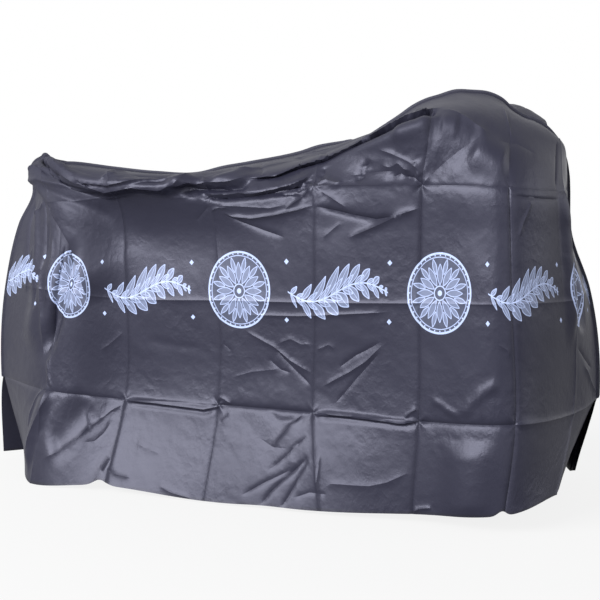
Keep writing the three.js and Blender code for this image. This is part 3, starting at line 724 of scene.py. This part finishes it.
def creased_net(panel):
    """The even net with its points drawn onto the lines that pass within half a cell of them, so
    that each fold runs along edges of the mesh. Also says which line each point is on."""
    along, height = even_net()
    wide, tall = np.gradient(along, axis=0), np.gradient(height, axis=1)
    upright = np.abs(along / FOLD_PITCH - np.round(along / FOLD_PITCH)) < 1e-6
    level = np.isin(np.round(height, 4), [KNEE_HEIGHT, WAIST_HEIGHT, CHEST_HEIGHT])
    free = np.zeros(along.shape, bool)
    free[1:-1, 1:-1] = True
    on_line = np.full(along.shape, -1)
    lines = [fold["line"] for fold in panel["laps"] + panel["creases"] if fold.get("kind") != "ridge"]
    for number, line in enumerate(lines):
        signed, share, turn, toward = near_line(line, along, height)
        nx, ny = np.abs(turn[..., 1]) + 1e-9, np.abs(turn[..., 0]) + 1e-9
        within_x, within_y = np.abs(signed) <= nx * wide / 2, np.abs(signed) <= ny * tall / 2
        near = free & (on_line < 0) & (share > 0) & (share < 1)
        inner = near & ~upright & ~level & (within_x | within_y)
        along = np.where(inner, along + toward[..., 0], along)
        height = np.where(inner, height + toward[..., 1], height)
        slid_up = near & upright & ~level & within_y
        height = np.where(slid_up, height + toward[..., 1] * (nx**2 + ny**2) / ny**2, height)
        slid_on = near & level & ~upright & within_x
        along = np.where(slid_on, along + toward[..., 0] * (nx**2 + ny**2) / nx**2, along)
        on_line[inner | slid_up | slid_on] = number
    return along, height, on_line, upright, level


# ---- Surface of a panel ----

# Millimetres from the weld over which each kind of fold comes to its full height.
SOFT_FOLD_FADE = 90
LAP_FADE = 50
CREASE_FADE = 40
HEM_LIFT_FADE = 90  # height over which a lift of the hem dies out


def hold_at_weld(along, height, fade):
    """0 on the weld, where both panels run flat together, and 1 away from it."""
    from_top = cut_height(along) - height
    from_end = np.minimum(along, PANEL_LENGTH - along)
    ends = np.where(height > WELD_TOP_OF_VENT, smooth(from_end / fade), 1)
    return smooth(from_top / fade) * ends


def weld_stray(forward, up):
    """How far the weld strays from its mean plane at a place."""
    total = np.zeros(forward.shape)
    for x, z, shift, reach_x, reach_z in WELD_STRAYS:
        total += shift * spot(forward - x, up - z, reach_x, reach_z)
    return total


def band_fullness(along, height):
    """How far the band below the knee bellies out."""
    fullness = read_curve(range(len(BAND_FULLNESS)), BAND_FULLNESS, along / FOLD_PITCH)
    share = np.clip(height / KNEE_HEIGHT, 0, 1)
    return fullness * np.where(height < KNEE_HEIGHT, np.sin(np.pi * share), 0)


def panel_surface(panel, along, height):
    """The panel with all its folds: an array of (forward, outward, up) over the net."""
    surface = draped_surface(panel, along, height)
    out, up = directions(surface)
    held = hold_at_weld(along, height, SOFT_FOLD_FADE)
    for fold in panel["folds"]:
        share = (held * fold_share(fold, along, height))[..., None]
        surface = surface + share * (fold["rise"] * out - fold["droop"] * up)
    held = hold_at_weld(along, height, LAP_FADE)
    for lap in panel["laps"]:
        surface = lapped(surface, lap, along, height, held)
    out, up = directions(surface)
    relief = packing_height(panel, along, height) + unevenness(panel, along, height)
    for row in panel["creases"]:
        relief = relief + crease_height(row, along, height)
    relief = relief + band_fullness(along, height)
    surface = surface + (relief * hold_at_weld(along, height, CREASE_FADE))[..., None] * out
    for place, reach, lift in panel["hem_lifts"]:
        near = np.exp(-(((along - place) / reach) ** 2))
        surface[..., 2] += lift * near * (1 - smooth(height / HEM_LIFT_FADE))
    surface[..., 1] = np.maximum(surface[..., 1], 0)
    return surface


# ---- Mesh of a panel ----

def new_object(name, data):
    thing = bpy.data.objects.new(name, data)
    bpy.context.scene.collection.objects.link(thing)
    return thing



UV_SPAN = (2200.0, 1100.0)  # the flat cut sits inside this, with a margin all round
UV_MARGIN = 50.0
ON_VENT_TOP = 0.01  # how near a point counts as being at the vent's top


def triangles(points, on_line, index):
    """Two triangles for each cell, split along a fold that crosses it, or else the shorter way."""
    corners = (index[:-1, :-1], index[1:, :-1], index[1:, 1:], index[:-1, 1:])
    a, b, c, d = (corner.ravel() for corner in corners)
    rising = (on_line[a] == on_line[c]) & (on_line[a] >= 0)
    falling = (on_line[b] == on_line[d]) & (on_line[b] >= 0)
    falling_length = np.linalg.norm(points[b] - points[d], axis=1)
    rising_length = np.linalg.norm(points[a] - points[c], axis=1)
    turned = np.where(rising == falling, falling_length < rising_length, falling)[:, None]
    first = np.where(turned, np.stack([a, b, d], -1), np.stack([a, b, c], -1))
    second = np.where(turned, np.stack([b, c, d], -1), np.stack([a, c, d], -1))
    return np.concatenate([first, second])


def weld_points(index, height):
    """Numbers of the points on the weld, from the rear vent over the top to the front one."""
    rear = index[0, height[0] >= WELD_TOP_OF_VENT - ON_VENT_TOP]
    front = index[-1, height[-1] >= WELD_TOP_OF_VENT - ON_VENT_TOP]
    return np.concatenate([rear, index[1:-1, -1], front[::-1]])


def weld_strip(points, flat, weld):
    """Points of the strip past the weld, and the same on the flat cut."""
    following, leading = np.append(weld[1:], weld[-1]), np.insert(weld[:-1], 0, weld[0])
    run = unit((points[following] - points[leading])[:, [0, 2]])
    flat_run = unit(flat[following] - flat[leading])
    width = np.full((len(weld), 1), float(WELD_ALLOWANCE))
    width[[0, -1]] *= 0.5
    strip = points[weld] + width * np.stack([-run[:, 1], np.zeros(len(weld)), run[:, 0]], -1)
    return strip, flat[weld] + width * np.stack([-flat_run[:, 1], flat_run[:, 0]], -1)


def placed(points, side):
    """Points of a panel on its side of the weld, in the frame and in metres."""
    places = points.copy()
    places[:, 1] = side * (points[:, 1] + FILM_CLEARANCE) + weld_stray(points[:, 0], points[:, 2])
    return (places - np.array(CROWN_SUPPORT)) * MM


def mark_folds(mesh, labels):
    """Makes an edge sharp where both its points have the same label, which says their fold."""
    ends = np.empty(2 * len(mesh.edges), np.int32)
    mesh.edges.foreach_get("vertices", ends)
    ends = ends.reshape(-1, 2)
    folded = np.zeros(len(ends), bool)
    for label in labels:
        folded |= (label[ends[:, 0]] == label[ends[:, 1]]) & (label[ends[:, 0]] >= 0)
    mesh.attributes.new("sharp_edge", "BOOLEAN", "EDGE").data.foreach_set("value", folded)


def lay_on_flat_cut(mesh, flat):
    """Gives each corner of the mesh its place on the flat cut."""
    uv = mesh.uv_layers.new(name="flat_cut")
    loops = np.empty(len(mesh.loops), np.int32)
    mesh.loops.foreach_get("vertex_index", loops)
    uv.data.foreach_set("uv", ((flat[loops] + UV_MARGIN) / np.array(UV_SPAN)).ravel())


def make_panel(name, panel, side):
    """side is +1 for the left panel and -1 for the right one."""
    along, height, on_line, upright, level = creased_net(panel)
    index = np.arange(along.size).reshape(along.shape)
    points = panel_surface(panel, along, height).reshape(-1, 3)
    flat = np.stack([along, height], -1).reshape(-1, 2)
    film_faces = triangles(points, on_line.ravel(), index)

    weld = weld_points(index, height)
    outer = len(points) + np.arange(len(weld))
    strip, flat_strip = weld_strip(points, flat, weld)
    faces = np.concatenate([film_faces, np.stack([weld[:-1], weld[1:], outer[1:]], -1),
                            np.stack([weld[:-1], outer[1:], outer[:-1]], -1)])
    if side > 0:
        faces = faces[:, ::-1]

    mesh = bpy.data.meshes.new(name)
    mesh.from_pydata(placed(np.concatenate([points, strip]), side).tolist(), [], faces.tolist())
    mesh.polygons.foreach_set("use_smooth", np.ones(len(faces), bool))
    in_strip = np.arange(len(faces)) >= len(film_faces)
    mesh.polygons.foreach_set("material_index", in_strip.astype(np.int32))
    column = np.where(upright, index // index.shape[1], -1)
    row = np.where(level, index % index.shape[1], -1)
    no_fold = np.full(len(strip), -1)
    mark_folds(mesh, [np.append(label.ravel(), no_fold) for label in (on_line, column, row)])
    lay_on_flat_cut(mesh, np.concatenate([flat, flat_strip]))
    mesh.update()
    return new_object(name, mesh)


RIGHT_PANEL = dict(sections=RIGHT_SECTIONS, folds=RIGHT_FOLDS, vents=RIGHT_VENTS, laps=RIGHT_LAPS,
                   creases=RIGHT_CREASES, hem_lifts=RIGHT_HEM_LIFTS,
                   uprights=RIGHT_UPRIGHTS, levels=RIGHT_LEVELS, stars=RIGHT_STARS,
                   crumples=RIGHT_CRUMPLES, seed=41)
LEFT_PANEL = dict(sections=LEFT_SECTIONS, folds=LEFT_FOLDS, vents=LEFT_VENTS, laps=LEFT_LAPS,
                  creases=LEFT_CREASES, hem_lifts=LEFT_HEM_LIFTS,
                  uprights=LEFT_UPRIGHTS, levels=LEFT_LEVELS, stars=LEFT_STARS,
                  crumples=LEFT_CRUMPLES, seed=77)

right = make_panel("right_panel_film", RIGHT_PANEL, -1)
left = make_panel("left_panel_film", LEFT_PANEL, 1)


# ---- Shader arithmetic ----

# Millimetres across the edge of a line or a filled shape over which it fades out.
LINE_BLUR = (-0.5, 0.7)
FILL_BLUR = (-0.6, 0.6)


class Node:
    """A number or colour from a shader node. Numbers take part in sums as plain ones do. New nodes
    go into the tree at hand."""

    tree = None

    def __init__(self, socket):
        self.socket = socket

    @classmethod
    def math(cls, operation, *values):
        node = cls.tree.nodes.new("ShaderNodeMath")
        node.operation = operation
        for socket, value in zip(node.inputs, values):
            feed(socket, value)
        return cls(node.outputs[0])

    def __add__(self, other):
        return Node.math("ADD", self, other)

    def __sub__(self, other):
        return Node.math("SUBTRACT", self, other)

    def __rsub__(self, other):
        return Node.math("SUBTRACT", other, self)

    def __mul__(self, other):
        return Node.math("MULTIPLY", self, other)

    def __truediv__(self, other):
        return Node.math("DIVIDE", self, other)

    def __abs__(self):
        return Node.math("ABSOLUTE", self)


def feed(socket, value):
    """Links an input to a node's value, or sets it to a plain one."""
    if isinstance(value, Node):
        Node.tree.links.new(value.socket, socket)
    else:
        socket.default_value = value


def most(*values):
    return values[0] if len(values) == 1 else Node.math("MAXIMUM", values[0], most(*values[1:]))


def root(a):
    return Node.math("SQRT", a)


def sine(a):
    return Node.math("SINE", a)


def span(a, b):
    return root(a * a + b * b)


def ramp(value, low, high):
    """0 below low and 1 above high."""
    share = Node.math("DIVIDE", value - low, high - low)
    share.socket.node.use_clamp = True
    return share


def wrapped(value, period):
    """Distance from the nearest whole number of periods, with its sign."""
    return value - Node.math("ROUND", value / period) * period


def line(distance, width):
    """A line along a shape's edge, where distance is measured in millimetres from that edge."""
    return 1.0 - ramp(abs(distance) - width / 2, *LINE_BLUR)


def fill(distance):
    """The inside of a shape, where distance is measured outwards from its edge."""
    return 1.0 - ramp(distance, *FILL_BLUR)


def mixed(share, first, second):
    """A colour that goes from the first to the second as share goes from 0 to 1."""
    node = Node.tree.nodes.new("ShaderNodeMix")
    node.data_type = "RGBA"
    for place, value in ((0, share), (6, first), (7, second)):
        feed(node.inputs[place], value)
    return Node(node.outputs[2])


def noise(cloth, scale, detail, roughness=0.5):
    """Cloudy noise from 0 to 1 over the cloth."""
    place = Node.tree.nodes.new("ShaderNodeCombineXYZ")
    feed(place.inputs[0], cloth[0])
    feed(place.inputs[1], cloth[1])
    node = Node.tree.nodes.new("ShaderNodeTexNoise")
    for name, value in (("Scale", scale), ("Detail", detail), ("Roughness", roughness)):
        node.inputs[name].default_value = value
    Node.tree.links.new(place.outputs[0], node.inputs["Vector"])
    return Node(node.outputs[0])


def new_material(name):
    """A new material, whose tree is then the one at hand, and its surface node."""
    material = bpy.data.materials.new(name)
    material.use_nodes = True
    Node.tree = material.node_tree
    return material, Node.tree.nodes["Principled BSDF"]


# ---- Print ----

PRINT_HEIGHT = 472  # middle of the printed band on the flat cut
REPEAT = 525
INK = (0.41, 0.49, 0.74, 1)
ROUNDEL_AT = 318  # along the cloth
ROUNDEL = 84  # radius
RINGS = [(ROUNDEL, 4.2), (ROUNDEL - 8, 1.6), (15, 2.4)]  # (radius, width)
HUB = 6
PETALS = [(12, 17, 62, 7.2, 0.0), (12, 40, 74, 5.0, math.pi / 12)]  # (count, start, end, width, turn)
BEADS = 36
BEAD = 1.7
BEAD_RING = ROUNDEL - 4
SPRAY_AT = ROUNDEL_AT + REPEAT / 2
SPRAY = 128  # half its length
STEM = 2.8
STEM_WAVE = 20
LEAVES = [(30, 0, 0.95, 62, 11), (30, 15, 0.62, 40, 6)]  # (pitch, start, lean, length, width)
LEAF_SHARPNESS = 60  # of a leaf's two ends
STUD = 6
STUDS_OFF = 62  # above and below the middle
# Thickness of the outlines, and how densely the shapes inside them are inked.
PETAL_LINE = 1.7
PETAL_TINT = 0.34
LEAF_LINE = 1.6
LEAF_TINT = 0.36
LEAF_VEIN = 1.1
ROUNDEL_TINT = 0.10


def roundel(along, height):
    """A wheel of petals inside two rings, with a ring of beads round it."""
    x, y = wrapped(along - ROUNDEL_AT, REPEAT), height - PRINT_HEIGHT
    radius = span(x, y)
    angle = Node.math("ARCTAN2", y, x)
    ink = most(*[line(radius - ring, width) for ring, width in RINGS], fill(radius - HUB))
    for count, start, end, width, turn in PETALS:
        across = abs(wrapped(angle + turn, 2 * math.pi / count)) * radius
        edge = across - sine(ramp(radius, start, end) * math.pi) * width
        inside = fill(abs(radius - (start + end) / 2) - (end - start) / 2)
        ink = most(ink, line(edge, PETAL_LINE) * inside, fill(edge) * inside * PETAL_TINT)
    beads = wrapped(angle, 2 * math.pi / BEADS) * radius
    beads = fill(span(beads, radius - BEAD_RING) - BEAD)
    return most(ink, beads, fill(radius - ROUNDEL) * ROUNDEL_TINT)


def leaf(along_leaf, off_leaf, size, long, wide):
    """A leaf with a middle vein, size times as large as its length and width say."""
    share = along_leaf / (size * long + 1.0)
    inside = fill(abs(share - 0.5) * LEAF_SHARPNESS - LEAF_SHARPNESS / 2)
    edge = abs(off_leaf) - sine(share * math.pi) * size * wide
    return most(line(edge, LEAF_LINE) * inside, fill(edge) * inside * LEAF_TINT,
                line(off_leaf, LEAF_VEIN) * inside * fill(edge))


def spray(along, height):
    """A wavy stem with pairs of leaves that grow smaller towards both ends."""
    x = wrapped(along - SPRAY_AT, REPEAT)
    size = root(ramp(abs(x), SPRAY, 0.0))
    y = height - PRINT_HEIGHT - sine(x * (math.pi / SPRAY)) * STEM_WAVE
    v = abs(y)
    ink = line(y, STEM)
    for pitch, start, lean, long, wide in LEAVES:
        u = wrapped(x - start, pitch)
        for shift in (-pitch, 0, pitch):
            along_leaf = (u - shift) * math.cos(lean) + v * math.sin(lean)
            off_leaf = v * math.cos(lean) - (u - shift) * math.sin(lean)
            ink = most(ink, leaf(along_leaf, off_leaf, size, long, wide))
    return ink * fill(abs(x) - SPRAY)


def print_ink(along, height):
    """How much ink there is at a place on the cloth, from 0 to 1."""
    from_stud = abs(wrapped(along - ROUNDEL_AT - REPEAT / 4, REPEAT / 2))
    studs = fill(from_stud + abs(abs(height - PRINT_HEIGHT) - STUDS_OFF) - STUD)
    return most(roundel(along, height), spray(along, height), studs)


# ---- Film ----

FILM_DARK = (0.012, 0.012, 0.022, 1)
FILM_LIGHT = (0.016, 0.016, 0.027, 1)
WELD_COLOUR = (0.012, 0.012, 0.016, 1)
HEM_LINE = 6  # millimetres of darker edge along the hem
HEM_SHARE = 0.6
INK_WEAR = 0.35  # how much the ink's strength varies
INK_LEAST = 0.62
SPECULAR = 0.30
SPECULAR_TINT = (0.79, 0.80, 1.0, 1)
ROUGHNESS = 0.34
CLOUD_ROUGHNESS = 0.06
TOP_ROUGHNESS = 0.2  # added on the upper cloth
TOP_SPAN = (770, 820)  # heights over which it is added
TAIL_ROUGHNESS = 0.13  # added on the upper cloth of the tail
TAIL_SPAN = (600, 430)  # places along over which it is added
TAIL_HEIGHTS = (480, 560)
CRUMPLE_DEPTH = 2.6
DIMPLE_DEPTH = 0.4
GRAIN_DEPTH = 0.10
PATCHES = (0.36, 0.6)  # how strong the patch noise is where crumple begins and is at its full
# Noise over the cloth: (scale to the millimetre, detail, roughness where it isn't the usual one).
SHADE_NOISE = (0.011, 3)
WELD_NOISE = (0.02, 2)
WEAR_NOISE = (0.08, 3)
CLOUD_NOISE = (0.03, 4, 0.6)
CRUMPLE_NOISE = (0.022, 3)
PATCH_NOISE = (0.007, 2)
DIMPLE_NOISE = (0.06, 3)
GRAIN_NOISE = (0.5, 2, 0.6)


def cloth_place():
    """Millimetres along the flat cut and up it."""
    uv = Node.tree.nodes.new("ShaderNodeUVMap")
    uv.uv_map = "flat_cut"
    apart = Node.tree.nodes.new("ShaderNodeSeparateXYZ")
    Node.tree.links.new(uv.outputs[0], apart.inputs[0])
    return [Node(apart.outputs[axis]) * UV_SPAN[axis] - UV_MARGIN for axis in (0, 1)]


def film_colour(cloth):
    """Two close shades of film, with a darker hem and the worn print over them."""
    colour = mixed(noise(cloth, *SHADE_NOISE), FILM_DARK, FILM_LIGHT)
    colour = mixed(fill(cloth[1] - HEM_LINE) * HEM_SHARE, colour, WELD_COLOUR)
    worn = noise(cloth, *WEAR_NOISE) * INK_WEAR + INK_LEAST
    return mixed(print_ink(*cloth) * worn, colour, INK)


def weld_colour(cloth):
    return mixed(noise(cloth, *WELD_NOISE), WELD_COLOUR, FILM_DARK)


def film_roughness(cloth):
    along, height = cloth
    clouds = noise(cloth, *CLOUD_NOISE) * CLOUD_ROUGHNESS
    top = ramp(height, *TOP_SPAN) * TOP_ROUGHNESS
    tail = ramp(along, *TAIL_SPAN) * ramp(height, *TAIL_HEIGHTS) * TAIL_ROUGHNESS
    return clouds + top + tail + ROUGHNESS


def film_relief(cloth):
    """Height of the film's finest creasing in millimetres, which patches of crumple cut into."""
    patches = ramp(noise(cloth, *PATCH_NOISE), *PATCHES)
    crumple = abs(noise(cloth, *CRUMPLE_NOISE) - 0.5) * -CRUMPLE_DEPTH * patches
    dimples = noise(cloth, *DIMPLE_NOISE) * DIMPLE_DEPTH
    return dimples + noise(cloth, *GRAIN_NOISE) * GRAIN_DEPTH + crumple


def film_material(name, colour_of):
    material, shader = new_material(name)
    cloth = cloth_place()
    feed(shader.inputs["Base Color"], colour_of(cloth))
    feed(shader.inputs["Roughness"], film_roughness(cloth))
    shader.inputs["Specular IOR Level"].default_value = SPECULAR
    shader.inputs["Specular Tint"].default_value = SPECULAR_TINT
    bump = Node.tree.nodes.new("ShaderNodeBump")
    bump.inputs["Distance"].default_value = MM
    bump.inputs["Strength"].default_value = 1.0
    feed(bump.inputs["Height"], film_relief(cloth))
    Node.tree.links.new(bump.outputs[0], shader.inputs["Normal"])
    return material


film = film_material("film", film_colour)
weld = film_material("weld", weld_colour)
for piece, node in ((right, "right_panel"), (left, "left_panel")):
    piece.data.materials.append(film)
    piece.data.materials.append(weld)
    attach(piece, "root")
    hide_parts(node)


# ---- Floor ----

FLOOR_UP = -0.928
FLOOR_REACH = 40
FLOOR_GREY = 0.36
FLOOR_ROUGHNESS = 0.9
GLOW_NEAR = 0.85  # share of the floor's white that the camera sees near the cover
GLOW_SPAN = (1.2, 3.5)  # metres from the frame's origin over which that share grows to 1


def floor_material():
    """Grey to the light, and white to the camera, a little less so near the cover."""
    material, shader = new_material("floor")
    nodes, links = Node.tree.nodes, Node.tree.links
    shader.inputs["Base Color"].default_value = (FLOOR_GREY, FLOOR_GREY, FLOOR_GREY, 1)
    shader.inputs["Roughness"].default_value = FLOOR_ROUGHNESS
    glow = nodes.new("ShaderNodeEmission")
    glow.inputs["Strength"].default_value = 1
    away = nodes.new("ShaderNodeVectorMath")
    away.operation = "LENGTH"
    links.new(nodes.new("ShaderNodeTexCoord").outputs["Object"], away.inputs[0])
    whiter = ramp(Node(away.outputs["Value"]), *GLOW_SPAN) * (1 - GLOW_NEAR) + GLOW_NEAR
    seen = Node(nodes.new("ShaderNodeLightPath").outputs["Is Camera Ray"]) * whiter
    mix = nodes.new("ShaderNodeMixShader")
    feed(mix.inputs[0], seen)
    links.new(shader.outputs[0], mix.inputs[1])
    links.new(glow.outputs[0], mix.inputs[2])
    links.new(mix.outputs[0], nodes["Material Output"].inputs["Surface"])
    return material


def lay_floor():
    mesh = bpy.data.meshes.new("floor")
    corners = [(-1, -1), (1, -1), (1, 1), (-1, 1)]
    mesh.from_pydata([(x * FLOOR_REACH, y * FLOOR_REACH, FLOOR_UP) for x, y in corners], [],
                     [(0, 1, 2, 3)])
    floor = new_object("floor", mesh)
    mesh.materials.append(floor_material())


# ---- Light ----

WORLD_LIGHT = 0.5  # strength of the world as a light; to the eye and in reflections it is white
LIGHT_CENTRE = Vector((-0.42, 0.0, -0.443))
LAMPS = [  # (name, azimuth, elevation, width, height, power)
    ("sky", -33, 25.5, 7.6, 4.6, 1700),
    ("front", 34, 12, 7.6, 4.6, 180),
    ("side", 95, 14, 8.0, 5.0, 240),
]
LAMP_DISTANCE = 9.0


def light_world():
    world = bpy.data.worlds.new("room")
    bpy.context.scene.world = world
    world.use_nodes = True
    Node.tree = world.node_tree
    background = Node.tree.nodes["Background"]
    background.inputs["Color"].default_value = (1, 1, 1, 1)
    path = Node.tree.nodes.new("ShaderNodeLightPath")
    rays = ("Is Camera Ray", "Is Glossy Ray", "Is Transmission Ray")
    shown = most(*[Node(path.outputs[ray]) for ray in rays])
    feed(background.inputs["Strength"], shown * (1 - WORLD_LIGHT) + WORLD_LIGHT)


def softbox(name, azimuth, elevation, width, tall, power):
    """A soft light that looks at the middle of the cover. Its azimuth is measured as the
    camera's is."""
    light = bpy.data.lights.new(name, "AREA")
    light.shape = "RECTANGLE"
    light.size, light.size_y = width, tall
    light.energy = power
    lamp = new_object(name, light)
    a, e = math.radians(azimuth), math.radians(elevation)
    way = Vector((math.sin(a) * math.cos(e), -math.cos(a) * math.cos(e), math.sin(e)))
    lamp.location = LIGHT_CENTRE + LAMP_DISTANCE * way
    lamp.rotation_euler = (LIGHT_CENTRE - lamp.location).to_track_quat("-Z", "Y").to_euler()


# ---- Camera ----

VIEW_AZIMUTH = math.radians(18)
VIEW_DISTANCE = 3.2
VIEW_HEIGHT = 0.70
VIEW_DIP = math.radians(4.535)
VIEW_TURN = math.radians(0.553)
AIM_OUT = 0.252  # of the machine's middle plane, towards the camera
FOCUS = 1450 / 600  # focal length in image widths
SENSOR = 36


def set_camera():
    camera = new_object("camera", bpy.data.cameras.new("camera"))
    camera.data.sensor_width = SENSOR
    camera.data.lens = SENSOR * FOCUS
    camera.location = (
        VIEW_DISTANCE * math.sin(VIEW_AZIMUTH) - CROWN_SUPPORT[0] * MM,
        -AIM_OUT - VIEW_DISTANCE * math.cos(VIEW_AZIMUTH),
        VIEW_HEIGHT - CROWN_SUPPORT[2] * MM,
    )
    camera.rotation_euler = (math.pi / 2 - VIEW_DIP, 0, VIEW_AZIMUTH + VIEW_TURN)
    bpy.context.scene.camera = camera


lay_floor()
light_world()
for settings in LAMPS:
    softbox(*settings)
set_camera()
bpy.context.scene.view_settings.view_transform = "Standard"
